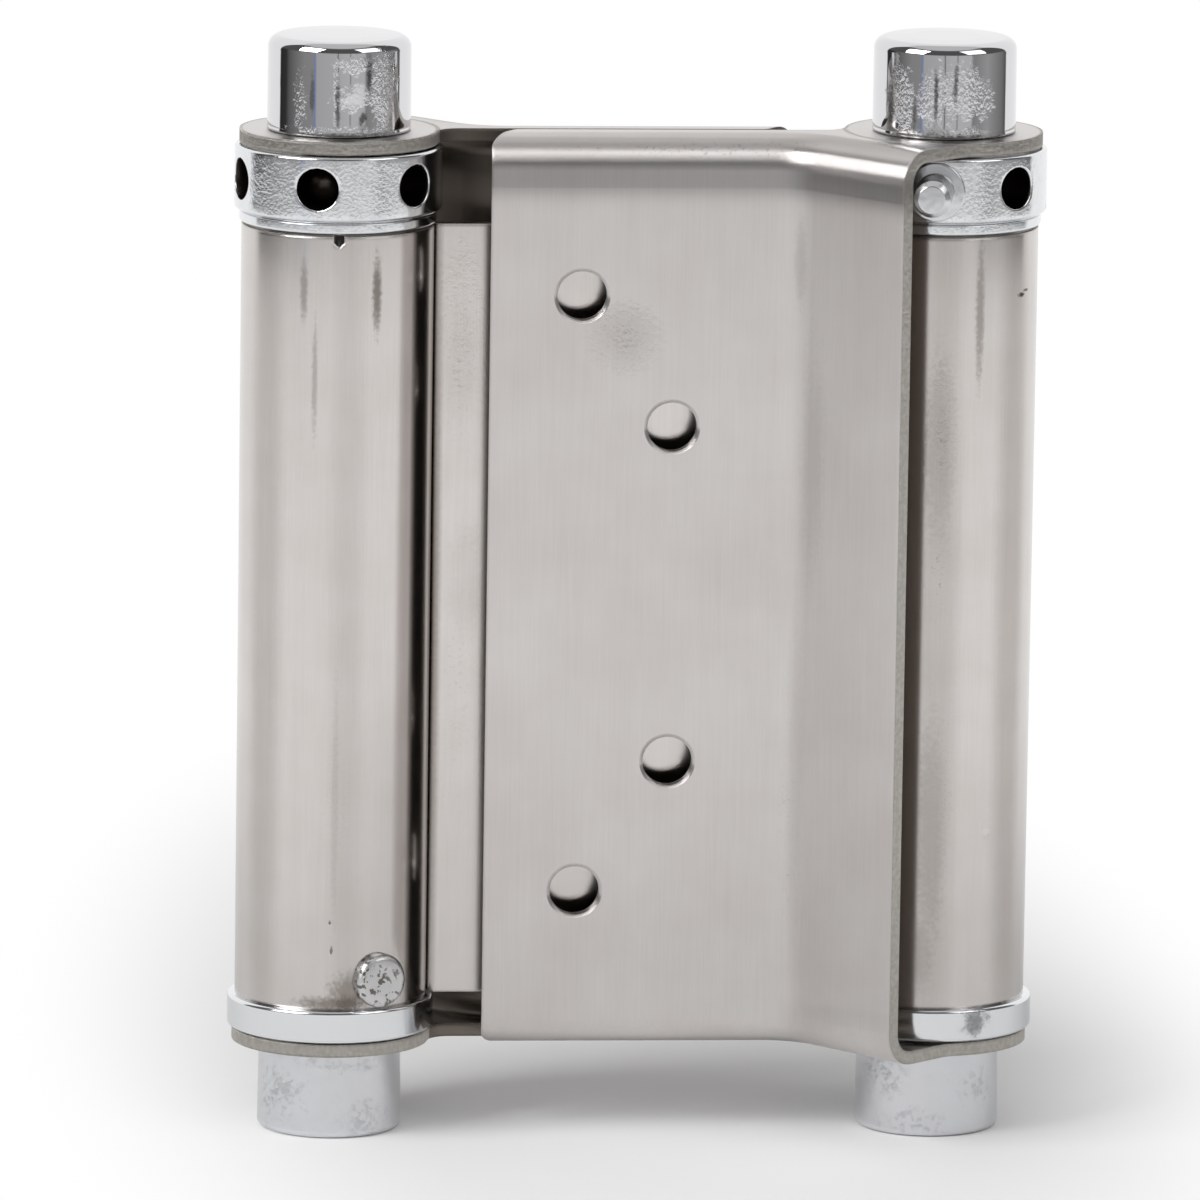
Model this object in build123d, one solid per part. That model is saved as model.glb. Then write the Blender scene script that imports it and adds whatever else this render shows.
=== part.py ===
from build123d import *
from math import asin, atan2, cos, degrees, radians, sin, sqrt
import os

# The hinge as a whole: X to the right, Y away from the viewer, Z up, in millimetres
axis_spacing = 65.4         # between the two barrel axes
leaf_height = 100.0         # over the upper and lower ears
sheet = 1.4                 # thickness of the leaves, the web and the barrels
press_clearance = 0.02      # radial, between pieces that are pressed together
turning_clearance = 0.06    # radial, in bores that a spindle or skirt turns in
end_gap = 0.2               # between an ear and the ring or collar beside it

# Centre sheet, with both edges rolled into barrels
barrel_radius = 10.4        # outside of the rolled barrel
roll_radius = 1.0           # inside of the small bend between web and barrel
seam_gap = 0.25             # between the rolled edge and the web
notch_width = 1.1           # nick in the top rim of each barrel
notch_depth = 1.1
notch_flank = 0.48          # slant at each side of the nick's foot
notch_angle = 177.6         # round the right-hand barrel from the viewer's side

# Leaves
leaf_reach = 49.2           # barrel axis to the free edge
flat_stand_off = 5.5        # barrel axis to the flat's outer face
bend_offset = 16.25         # barrel axis to the line where the leaf turns outward
slant_angle = 48.0          # turn of the slanted strip
end_edge_offset = 8.714     # barrel axis to the plane of the slanted strip's end edge
valley_radius = 5.0         # outside of that bend
flange_radius = 2.2         # inside of the bends to the top and bottom flanges
flange_gap = 0.4            # between the flanges of the two leaves
flange_cut = 2.9            # how far the flange's free end is cut back
flange_cut_start = 1.0      # from the outer face to where that cut starts
flange_corner = 1.2         # rounding of the flange's free corners
ear_overhang = 0.3          # beyond the barrel
ear_neck_radius = 2.6       # hollow curve from the flange's back edge to the ear
ear_side_radius = 4.0       # hollow curve from the end edge to the ear
screw_radius = 2.7
outer_screw_inset = 9.9     # free edge to the two outer holes
inner_screw_inset = 19.8    # free edge to the two inner holes
outer_screw_pitch = 65.3
inner_screw_pitch = 36.7

# Spring plug: a ring under the barrel and a spigot inside it
ring_overhang = 0.8         # beyond the barrel
ring_height = 3.55
ring_chamfer = 0.5
spigot_length = 11.0
plug_bore_floor = 1.5       # metal left between the spindle's end and the spring
rivet_radius = 1.6
rivet_head_radius = 2.95
rivet_head_height = 1.3
rivet_height = 3.2          # above the barrel's lower rim
rivet_depth = 3.0           # into the spigot
rivet_angle = 206.6         # round the barrel from the viewer's side

# Tension collar: a band with tommy-bar holes, a lip and a skirt inside the barrel
collar_overhang = 0.8       # beyond the barrel
band_height = 6.95
lip_overhang = 0.25         # beyond the barrel
lip_height = 1.4
lip_groove_depth = 0.55     # into the lip
lip_groove_height = 0.3
lip_gap = 0.3               # between the lip and the barrel's upper rim
skirt_length = 8.0
hole_count = 6
hole_radius = 2.25
hole_depth = 4.2
first_hole = {"right": 40.3, "left": 45.0}

# Stop pin in the collar hole beside the leaf's end edge
pin_radius = 2.0
pin_engagement = 3.6
pin_reach = 6.0             # beyond the collar
pin_tip_chamfer = 0.55
pin_shoulder_radius = 3.2
pin_shoulder_height = 0.5
pin_gap = 0.05              # to the leaf's end edge and to the hole

# Spindles and the caps on their outer ends
spindle_radius = 4.0
collar_engagement = 13.0    # below the upper ear
cap_engagement = 7.0        # outside the ear
cap_radius = 7.85
cap_height = 10.3
foot_height = 9.7
cap_edge = 0.6              # slanted edge of the outer end

# Torsion spring
wire = 2.2
wire_side_count = 5
spring_clearance = 0.4      # to the barrel
spring_end_gap = 0.4        # to the plug and to the skirt
spring_turns = 11.5
spring_stretch_count = 10   # straight stretches of wire in each turn
tang_length = 2.4           # end of the wire in its slot
slot_clearance = 0.1

# Places that follow from the sizes above, measured from the lower ear's underside
barrel_bore = barrel_radius - sheet
ear_radius = barrel_radius + ear_overhang
ring_radius = barrel_radius + ring_overhang
collar_radius = barrel_radius + collar_overhang
lip_radius = barrel_radius + lip_overhang
lip_groove_radius = lip_radius - lip_groove_depth
ring_bottom = sheet + end_gap
barrel_bottom = ring_bottom + ring_height
spigot_top = barrel_bottom + spigot_length
collar_top = leaf_height - sheet - end_gap
band_bottom = collar_top - band_height
lip_bottom = band_bottom - lip_height
barrel_top = lip_bottom - lip_gap
skirt_bottom = lip_bottom - skirt_length
hole_level = (collar_top + band_bottom) / 2
skirt_radius = barrel_bore - turning_clearance
spigot_radius = barrel_bore - press_clearance
bearing_bore = spindle_radius + turning_clearance
pressed_bore = spindle_radius + press_clearance
spring_outer_radius = barrel_bore - spring_clearance
spring_mean_radius = spring_outer_radius - wire / 2


def turned(points):
    """Piece turned about the barrel axis from its half profile of (radius, height) points."""
    profile = Plane.XZ * make_face(Polyline(*points, close=True))
    return revolve(profile, Axis.Z)


def spoke(radius, start, end, level, angle=0.0):
    """Round bar that points away from the barrel axis."""
    bar = Pos(0, -(start + end) / 2, level) * Rot(90, 0, 0) * Cylinder(radius, end - start)
    return Rot(0, 0, angle) * bar


def nearest_vertex(face, point):
    return face.vertices().sort_by_distance(Vector(*point))[0]


# Centre sheet

def rolled_edge():
    """Outline of half the sheet, from the middle of the web round the right-hand barrel and back."""
    half = sheet / 2
    wall_middle = barrel_radius - half
    bend_middle = roll_radius + half
    bend_x = axis_spacing / 2 - sqrt((wall_middle + bend_middle) ** 2 - bend_middle ** 2)
    tangent = degrees(atan2(bend_middle, axis_spacing / 2 - bend_x))
    centre = (axis_spacing / 2, 0)
    bend_centre = (bend_x, -bend_middle)
    free_edge = 180 - degrees(asin((half + seam_gap) / barrel_bore))
    start = 180 + tangent
    outer = CenterArc(centre, barrel_radius, start, 360 + free_edge - start)
    inner = CenterArc(centre, barrel_bore, 360 + free_edge, start - 360 - free_edge)
    tight = CenterArc(bend_centre, roll_radius, 90, tangent - 90)
    wide = CenterArc(bend_centre, roll_radius + sheet, tangent, 90 - tangent)
    return [
        Line((0, -half), (bend_x, -half)),
        tight,
        outer,
        Line(outer @ 1, inner @ 0),
        inner,
        wide,
        Line((bend_x, half), (0, half)),
    ]


def centre_web():
    right_edge = rolled_edge()
    left_edge = [Rot(0, 0, 180) * edge for edge in right_edge]
    outline = make_face(right_edge + left_edge)
    web = Pos(0, 0, barrel_bottom) * extrude(outline, barrel_top - barrel_bottom)
    for turn in (0, 180):
        place = Rot(0, 0, turn) * Pos(axis_spacing / 2, 0, 0)
        web -= place * rivet_hole(barrel_bore - sheet, barrel_radius + sheet)
        notch = Box(notch_width, 2 * sheet, 2 * notch_depth)
        notch = chamfer(notch.edges().filter_by(Axis.Y).group_by(Axis.Z)[0], notch_flank)
        notch = Pos(0, -barrel_radius, barrel_top) * notch
        web -= place * Rot(0, 0, notch_angle) * notch
    return web


def rivet_hole(start, end):
    level = barrel_bottom + rivet_height
    return spoke(rivet_radius + press_clearance, start, end, level, rivet_angle)


# Leaf, in the frame of its own barrel, reaching to the left

slant_way = Vector(cos(radians(slant_angle)), -sin(radians(slant_angle)))
edge_way = Vector(sin(radians(slant_angle)), cos(radians(slant_angle)))
bend_point = Vector(-bend_offset, -flat_stand_off)
slant_length = end_edge_offset - bend_point.dot(slant_way)
end_outer_corner = bend_point + slant_way * slant_length
end_inner_corner = end_outer_corner + edge_way * sheet
beyond = 3 * ear_radius     # how far the blocks below reach past the leaf


def leaf_front_block(inset):
    """Block behind the leaf's outer face, or behind its inner face when inset by the sheet."""
    shift = (Vector(0, 1) + edge_way) * (inset / (1 + edge_way.Y))
    corner = bend_point + shift
    left = Vector(-leaf_reach - beyond, corner.Y)
    tip = corner + slant_way * (slant_length + beyond)
    back = beyond + leaf_reach
    outline = Polyline(left, corner, tip, (back, tip.Y), (back, back), (left.X, back), close=True)
    face = make_face(outline)
    face = fillet(nearest_vertex(face, corner), valley_radius + inset)
    front = Curve() + [Line(left, corner), Line(corner, tip)]
    block = Pos(0, 0, inset) * extrude(face, leaf_height - 2 * inset)
    level_edges = block.edges().filter_by(Axis.Z, reverse=True)
    bends = [
        edge for edge in level_edges
        if front.distance_to(Vector((edge @ 0.5).X, (edge @ 0.5).Y)) < valley_radius / 2
    ]
    return fillet(bends, flange_radius + sheet - inset)


def leaf_outline():
    """Plan of the leaf: the strip of the flanges, its cut free end and the round ear."""
    back = -flange_gap / 2
    front = end_outer_corner.Y - sheet
    along = -end_outer_corner.dot(edge_way)
    nearest = end_outer_corner + edge_way * along      # where the end edge's line passes the barrel axis
    strip = Polyline(
        (-leaf_reach, front),
        (-leaf_reach, -flat_stand_off + flange_cut_start),
        (-leaf_reach + flange_cut, back),
        (0, back),
        nearest,
        end_outer_corner - edge_way * sheet,
        close=True,
    )
    face = make_face(strip)
    for corner in ((-leaf_reach + flange_cut, back), (-leaf_reach, -flat_stand_off + flange_cut_start)):
        face = fillet(nearest_vertex(face, corner), flange_corner)
    face += Circle(ear_radius)
    face = fillet(nearest_vertex(face, (-ear_radius, back)), ear_neck_radius)
    side = nearest - edge_way * sqrt(ear_radius ** 2 - nearest.length ** 2)
    return fillet(nearest_vertex(face, (side.X, side.Y)), ear_side_radius)


def screw_holes():
    middle = leaf_height / 2
    hole = Rot(90, 0, 0) * Cylinder(screw_radius, 4 * sheet)
    for inset, pitch in ((outer_screw_inset, outer_screw_pitch), (inner_screw_inset, inner_screw_pitch)):
        for level in (middle - pitch / 2, middle + pitch / 2):
            yield Pos(inset - leaf_reach, -flat_stand_off, level) * hole


def leaf():
    shell = leaf_front_block(0) - leaf_front_block(sheet)
    pressing = shell & extrude(leaf_outline(), leaf_height)
    pressing -= Cylinder(pressed_bore, 3 * leaf_height)
    for hole in screw_holes():
        pressing -= hole
    return pressing


# Bottom of the barrel

def spring_slot(level):
    """Slot across one wall that takes the end of the spring wire."""
    length = barrel_bore
    size = wire + 2 * slot_clearance
    depth = 2 * (tang_length - spring_end_gap + slot_clearance)
    return Pos(length / 2 + bearing_bore, 0, level) * Box(length, size, depth)


def spring_plug():
    floor = spigot_top - plug_bore_floor
    plug = turned([
        (0, floor),
        (bearing_bore, floor),
        (bearing_bore, ring_bottom),
        (ring_radius, ring_bottom),
        (ring_radius, barrel_bottom - ring_chamfer),
        (ring_radius - ring_chamfer, barrel_bottom),
        (spigot_radius, barrel_bottom),
        (spigot_radius, spigot_top),
        (0, spigot_top),
    ])
    plug -= rivet_hole(spigot_radius - rivet_depth, barrel_radius)
    return plug - spring_slot(spigot_top)


def plug_rivet():
    level = barrel_bottom + rivet_height
    barrel = Pos(0, 0, level) * Cylinder(barrel_radius, 4 * rivet_head_radius)
    shank = spoke(rivet_radius, spigot_radius - rivet_depth + press_clearance, barrel_radius, level)
    head = spoke(rivet_head_radius, spigot_radius, barrel_radius + rivet_head_height, level) - barrel
    return Rot(0, 0, rivet_angle) * (shank + head)


# Top of the barrel

pin_angle = degrees(
    asin((pin_radius + pin_gap) / end_inner_corner.length)
    - atan2(-end_inner_corner.X, -end_inner_corner.Y)
)


def hole_angles(side):
    """The stop pin's hole, then the evenly pitched tommy-bar holes but for the one that it replaces."""
    pitch = 360 / hole_count
    angles = [first_hole[side] + index * pitch for index in range(hole_count)]
    taken = min(angles, key=lambda angle: abs((angle - pin_angle + 180) % 360 - 180))
    return [pin_angle] + [angle for angle in angles if angle != taken]


def tension_collar(side):
    groove_bottom = band_bottom - lip_groove_height
    collar = turned([
        (bearing_bore, collar_top),
        (collar_radius, collar_top),
        (collar_radius, band_bottom),
        (lip_groove_radius, band_bottom),
        (lip_groove_radius, groove_bottom),
        (lip_radius, groove_bottom),
        (lip_radius, lip_bottom),
        (skirt_radius, lip_bottom),
        (skirt_radius, skirt_bottom),
        (bearing_bore, skirt_bottom),
    ])
    for angle in hole_angles(side):
        collar -= spoke(hole_radius, collar_radius - hole_depth, 2 * collar_radius, hole_level, angle)
    return collar - Rot(0, 0, 180) * spring_slot(skirt_bottom)


def stop_pin():
    shank_start = collar_radius - pin_engagement
    tip = collar_radius + pin_reach
    pin = spoke(pin_radius, shank_start, tip, hole_level)
    pin = chamfer(pin.edges().sort_by(Axis.Y)[0], pin_tip_chamfer)
    shoulder_start = collar_radius + pin_gap
    pin += spoke(pin_shoulder_radius, shoulder_start, shoulder_start + pin_shoulder_height, hole_level)
    return Rot(0, 0, pin_angle) * pin


# Spindles and caps

def spindle(low, high):
    return Pos(0, 0, (low + high) / 2) * Cylinder(spindle_radius, high - low)


def cap(height):
    """Cap that stands on its ear, open below for the spindle's end."""
    bore_end = cap_engagement + press_clearance
    return turned([
        (0, bore_end),
        (pressed_bore, bore_end),
        (pressed_bore, 0),
        (cap_radius, 0),
        (cap_radius, height - cap_edge),
        (cap_radius - cap_edge, height),
        (0, height),
    ])


def top_spindle():
    return spindle(leaf_height - collar_engagement, leaf_height + cap_engagement)


def bottom_spindle():
    return spindle(-cap_engagement, spigot_top - plug_bore_floor - end_gap)


def top_cap():
    return Pos(0, 0, leaf_height) * cap(cap_height)


def bottom_cap():
    return Rot(180, 0, 0) * cap(foot_height)


# Torsion spring

def torsion_spring():
    """Round wire, drawn with a few flats, wound in a helix with an upright tang at each end."""
    low = spigot_top + spring_end_gap + wire / 2
    high = skirt_bottom - spring_end_gap - wire / 2
    count = round(spring_turns * spring_stretch_count)
    coil = []
    for index in range(count + 1):
        turn = radians(360 * index / spring_stretch_count)
        level = low + (high - low) * index / count
        coil.append(Vector(spring_mean_radius * cos(turn), spring_mean_radius * sin(turn), level))
    tang = Vector(0, 0, tang_length + wire / 2)
    path = Polyline(coil[0] - tang, *coil, coil[-1] + tang)
    section = Plane(path @ 0) * RegularPolygon(wire / 2, wire_side_count)
    return sweep(section, path, transition=Transition.RIGHT)


# Every piece in its place

to_right = Pos(axis_spacing / 2, 0, foot_height)
to_left = Rot(0, 0, 180) * to_right
places = {"right": to_right, "left": to_left}
leaf_names = {"right": "front_leaf", "left": "rear_leaf"}

pieces = {"centre_web": Pos(0, 0, foot_height) * centre_web()}
for side, place in places.items():
    pieces[leaf_names[side]] = place * leaf()
    pieces[side + "_tension_collar"] = place * tension_collar(side)
    pieces[side + "_stop_pin"] = place * stop_pin()
    pieces[side + "_spring_plug"] = place * spring_plug()
    pieces[side + "_plug_rivet"] = place * plug_rivet()
    pieces[side + "_torsion_spring"] = place * torsion_spring()
    pieces[side + "_top_spindle"] = place * top_spindle()
    pieces[side + "_bottom_spindle"] = place * bottom_spindle()
    pieces[side + "_top_cap"] = place * top_cap()
    pieces[side + "_bottom_cap"] = place * bottom_cap()

os.makedirs("parts", exist_ok=True)
for name, piece in pieces.items():
    export_step(piece, "parts/" + name + ".step")
    print(name, "volume", round(piece.volume, 1))
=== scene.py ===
import bpy
import bmesh
import math
from mathutils import Matrix, Vector


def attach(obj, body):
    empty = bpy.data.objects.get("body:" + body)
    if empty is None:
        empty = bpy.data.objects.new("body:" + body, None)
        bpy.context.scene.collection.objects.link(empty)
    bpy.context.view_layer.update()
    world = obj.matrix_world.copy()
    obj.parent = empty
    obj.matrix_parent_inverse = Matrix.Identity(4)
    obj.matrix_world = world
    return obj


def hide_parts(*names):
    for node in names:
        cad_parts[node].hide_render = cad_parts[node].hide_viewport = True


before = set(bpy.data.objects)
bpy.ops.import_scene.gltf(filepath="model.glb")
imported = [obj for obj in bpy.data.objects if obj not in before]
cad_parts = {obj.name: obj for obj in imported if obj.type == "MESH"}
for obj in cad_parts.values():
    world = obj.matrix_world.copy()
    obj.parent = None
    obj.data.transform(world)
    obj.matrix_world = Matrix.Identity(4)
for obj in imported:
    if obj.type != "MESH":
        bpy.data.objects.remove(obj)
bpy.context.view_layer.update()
mm = 0.001
print("stage: frame loaded,", len(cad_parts), "nodes")

# Places of the two barrels, in mm: what sits on a barrel is made round its axis, seen from the viewer's side
axisSpacing = 65.4
footHeight = 9.7
rightPlace = Matrix.Translation((axisSpacing / 2, 0, footHeight))
barrelPlaces = {"right": rightPlace, "left": Matrix.Rotation(math.pi, 4, "Z") @ rightPlace}


# Small helpers for colours, nodes and materials

def toLinear(hexColour):                       # sRGB hex to linear, by the curve of the standard
    channels = [int(hexColour[i:i + 2], 16) / 255 for i in (1, 3, 5)]
    return tuple(c / 12.92 if c <= 0.04045 else ((c + 0.055) / 1.055) ** 2.4 for c in channels) + (1.0,)


def addNode(tree, kind, settings={}, values={}, links={}):
    node = tree.nodes.new(kind)
    for name, value in settings.items():
        setattr(node, name, value)
    for name, value in values.items():
        node.inputs[name].default_value = value
    for name, source in links.items():
        tree.links.new(source, node.inputs[name])
    return node


def startMaterial(name):
    material = bpy.data.materials.new(name)
    material.use_nodes = True
    tree = material.node_tree
    tree.nodes.clear()
    return material, tree


# Camera, at the photograph's place

photoView = {
    "yaw": 4.431, "rise": 10.436, "roll": 0.812,      # degrees
    "distance": 1.41, "farthest": 20.0,               # m
    "lens": 390.0, "sensor": 36.0,                    # mm
    "aim": (-3.82, 0, 58.09),                         # mm, what the middle of the picture shows
}


def makeCamera(look):
    yaw, rise, roll = (math.radians(look[key]) for key in ("yaw", "rise", "roll"))
    back = Vector((-math.sin(yaw) * math.cos(rise), -math.cos(yaw) * math.cos(rise), math.sin(rise)))
    level = Vector((math.cos(yaw), -math.sin(yaw), 0))
    upright = back.cross(level)
    across = level * math.cos(roll) + upright * math.sin(roll)
    upward = upright * math.cos(roll) - level * math.sin(roll)
    camera = bpy.data.objects.new("photoCamera", bpy.data.cameras.new("photoCamera"))
    camera.data.lens = look["lens"]
    camera.data.sensor_width = look["sensor"]
    camera.data.clip_end = look["farthest"]
    place = Vector(look["aim"]) * mm + back * look["distance"]
    axes = Matrix((across, upward, back)).transposed().to_4x4()
    camera.matrix_world = Matrix.Translation(place) @ axes
    bpy.context.scene.collection.objects.link(camera)
    bpy.context.scene.camera = camera


makeCamera(photoView)
print("stage: camera placed")


# Materials

markFade = (0.25, 1.1)      # a mark is whole out to the first share of its reach and gone at the second


def reachFrom(tree, place, centre, reach):     # how far off the centre a point lies: 1 on the oval of that reach
    away = addNode(tree, "ShaderNodeVectorMath", {"operation": "SUBTRACT"},
                   {1: [c * mm for c in centre]}, {0: place})
    scaled = addNode(tree, "ShaderNodeVectorMath", {"operation": "DIVIDE"},
                     {1: [r * mm for r in reach]}, {0: away.outputs[0]})
    return addNode(tree, "ShaderNodeVectorMath", {"operation": "LENGTH"},
                   links={0: scaled.outputs[0]}).outputs["Value"]


def strongestOf(tree, masks):
    strongest = masks[0]
    for mask in masks[1:]:
        strongest = addNode(tree, "ShaderNodeMath", {"operation": "MAXIMUM"},
                            links={0: strongest, 1: mask}).outputs[0]
    return strongest


def markMask(tree, place, marks, ragged):      # a mark is (centre, reach, strength), centre and reach in mm
    spots = []
    for centre, reach, strength in marks:
        far = reachFrom(tree, place, centre, reach)
        uneven = addNode(tree, "ShaderNodeMath", {"operation": "ADD"}, links={0: far, 1: ragged})
        spots.append(addNode(
            tree, "ShaderNodeMapRange", {"interpolation_type": "SMOOTHSTEP"},
            {"From Min": markFade[0], "From Max": markFade[1], "To Min": strength, "To Max": 0.0},
            {"Value": uneven.outputs[0]}).outputs[0])
    return strongestOf(tree, spots)


def layColours(tree, colour, layers):          # a layer is (mask, colour that covers the ones below it)
    for mask, cover in layers:
        colour = addNode(tree, "ShaderNodeMix", {"data_type": "RGBA"}, {7: toLinear(cover)},
                         {0: mask, 6: colour}).outputs[2]
    return colour


def stackRelief(tree, layers):                 # a layer is (pattern, depth in mm), and the heights add up
    (pattern, depth), *others = layers
    relief = addNode(tree, "ShaderNodeMath", {"operation": "MULTIPLY"}, {1: depth}, {0: pattern}).outputs[0]
    for pattern, depth in others:
        relief = addNode(tree, "ShaderNodeMath", {"operation": "MULTIPLY_ADD"}, {1: depth},
                         {0: pattern, 2: relief}).outputs[0]
    return relief


leafSteel = {
    "colour": "#D5D1CF",         # stainless sheet, warm grey
    "cloud": "#CEC8C6",          # where the brushing is duller
    # this colour also colours the painted shades
    "stainAndShade": "#A8A29D",
    "cut": "#C4C0BA",            # sheared edges, lighter and darker where the metal tore
    "tear": "#B5B0A9",
    "inside": "#80776F",         # inward faces: mill finish that was never brushed, darkened with painted shade of the narrow gaps they face
    "nick": "#4A4039",           # dirt in the pits of scuffs and in nicks
    "roughness": 0.31,
    "cutRoughness": 0.42,        # of sheared edges and of the mill finish
    "stainDulling": 0.12,        # roughness that a stain adds
    "stretch": 1.0,              # how far the brushing spreads the gloss across its lines
    "grainWidth": 0.16,          # mm; the real brushing is about 0.05 mm and is drawn coarser so that it shows
    "grainLength": 9.0,          # mm
    "grainDepth": 0.0016,        # mm
    "grainTones": (0.975, 1.02), # what the darkest and the lightest lines multiply the colour by
    "streakWidth": 1.6,          # mm
    "streakLength": 45.0,        # mm
    "streakTones": (0.985, 1.01),
    "toneLevels": (0.3, 0.7),    # noise levels that get those two tones
    "cloudSize": 11.0,           # mm
    "cloudLevels": (0.35, 0.75), # noise levels between which the cloud colour comes in
    "cutGrain": 0.5,             # mm, torn metal on the sheared edges
    "tearLevels": (0.35, 0.65),  # noise levels between which the torn colour comes in
    "cutDepth": 0.035,           # mm
    "holeRadius": 2.7,           # mm
    "burrWidth": 0.34,           # mm, ring that drilling left round each screw hole
    "burrSlope": 0.46,           # the ring's slope, which catches the light under each hole
    "holes": [(-6.6, -5.5, 92.35), (-6.6, -5.5, 27.05), (3.3, -5.5, 78.05), (3.3, -5.5, 41.35)],
    "scuffSize": 0.5,            # mm
    "scuffDepth": 0.026,         # mm
    "speckShare": 0.4,           # how dark the pits of a scuff are
    "speckLevels": (0.58, 0.68), # noise levels between which a pit darkens
    "nickDepth": 0.12,           # mm
    "raggedness": 0.55,          # how far the outlines of marks wander, as a share of their reach
    "shadeRaggedness": 0.15,     # the part of it that the painted shades take on
    "edgeRound": 0.5,            # mm, corner left by shearing
    "bowStart": 4.9,             # mm below the bend, where the flat begins to bow back
    "bowSlope": 0.11,            # slope that it has reached at the bend
    "bowEnd": 1.2,               # mm past the bend, where that slope has died away
    "bendStart": 3.6,            # mm from the ends of the leaf to its flat
    "dish": 0.02,                # slope that the flat leans forward by at its ends
    "dishEnd": 2.0,              # mm below the bend, where it stops leaning further
    "stainsAndShade": [((-1.9, -5.5, 87.6), (4.2, 3, 4.2), 0.2), ((18.4, -7.3, 75), (1.6, 4, 16), 0.2),
               ((17.2, -5.6, 40), (1.2, 3, 22), 0.15), ((16.9, -5.6, 96), (0.9, 3, 6), 0.25)],
    "scuffs": [((-1.9, -5.5, 87.6), (4.4, 3, 4.2), 1.0), ((16.6, -5.6, 34), (1.6, 3, 18), 0.5),
               ((8, -5.5, 108.3), (26, 4, 1.6), 1.0)],
    # painted shade: a faint dark band down the leaf's fold; the second mark darkens the tops of the ears
    "paintedShades": [((17.4, -6.4, 60), (1.2, 3, 60), 0.1), ((20, -2, 110.2), (60, 40, 1.4), 0.5)],
    "nicks": [((27.3, -12.0, 100.1), (0.42, 1, 0.5), 0.7), ((26.9, -12.0, 99.5), (0.3, 1, 0.35), 0.6)],
}
barrelSteel = dict(
    leafSteel, colour="#D2CDCA", cloud="#CCC7C3", stainAndShade="#7C736C", roughness=0.135, stretch=0.8, cloudSize=6.0,
    grainDepth=0.0012, bowSlope=0.0, dish=0.0, holes=[],
    # the first mark is partly a smudge and partly painted shade along the left barrel's lower end, just above the
    # ring
    stainsAndShade=[((-32.6, -10.4, 15.6), (5.4, 4, 1.0), 0.8), ((-31.2, -10.3, 16.8), (2.8, 3, 2.6), 0.7),
            ((-28.98, -9.7, 93.2), (0.62, 2, 5.2), 0.8), ((-36.8, -9.55, 93.6), (0.5, 2, 4.4), 0.45),
            ((-35.6, -10.0, 84), (0.4, 2, 8), 0.35), ((-33.0, -10.4, 38), (0.5, 2, 16), 0.15),
            ((35.95, -9.9, 91.5), (0.6, 2, 9.5), 0.5),
            ((31.8, -10.35, 76), (1.9, 3, 13), 0.25), ((31.6, -10.35, 34), (1.9, 3, 16), 0.25),
            ((30.7, -10.2, 21), (1.8, 3, 6), 0.25), ((-19.3, -0.7, 84), (2.6, 2, 9), 0.1),
            ((-18.5, -0.7, 60), (2.2, 2, 8), 0.1)],
    # painted shade and painted reflection: soft dark bands down the barrels where their reflection runs dark, and
    # the shade in the hollow where the web rolls into the left barrel
    paintedShades=[((-22.1, -1.2, 58), (1.1, 1.6, 80), 0.9), ((-40.6, -6.7, 60), (3.0, 3.0, 90), 0.3),
            ((-31.9, -10.4, 60), (2.6, 3, 90), 0.16), ((40.1, -7.3, 60), (3.0, 3, 90), 0.36),
            ((31.9, -10.4, 60), (3.0, 3, 90), 0.3)],
    scuffs=[((37.8, -9.0, 33.9), (0.6, 2, 0.6), 1.0), ((32.0, -10.35, 77), (2.0, 3, 9), 0.9),
            ((31.9, -10.35, 63), (1.6, 3, 7), 0.6), ((33.2, -10.4, 40), (1.6, 3, 10), 0.5),
            ((38.0, -8.9, 17.8), (0.6, 2, 0.8), 1.0), ((-33.0, -10.4, 36), (2.0, 2, 8), 0.5),
            ((-19.2, -0.7, 84), (3.0, 2, 13), 0.45), ((-19.2, -0.7, 50), (3.0, 2, 26), 0.25)],
    nicks=[((40.7, -6.66, 92.8), (0.55, 1, 0.3), 1.0), ((41.3, -6.0, 93.2), (0.5, 1, 0.22), 0.8),
           ((-33.2, -10.4, 21.5), (0.2, 1, 0.6), 0.7), ((-33.4, -10.4, 24.6), (0.16, 1, 0.3), 0.6),
           ((-31.3, -10.3, 15.7), (2.0, 2, 1.0), 0.5)])


cutFacing = (0.9, 0.97)      # cosine to a cut's direction: below the first a face isn't cut, above the second it is
insideFacing = (0.3, 0.4)    # the same for faces that look inward
rimBand = (-0.3, -0.1, 0.1, 0.2)     # mm from the ears' radius, between which the look of their rims comes and goes
brushedWay = (0, 0.03, 1)    # upright, and leant a little so that level faces have a way too
quarterTurn = 0.25           # of a turn: the gloss spreads across the brushing, not along it


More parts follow.
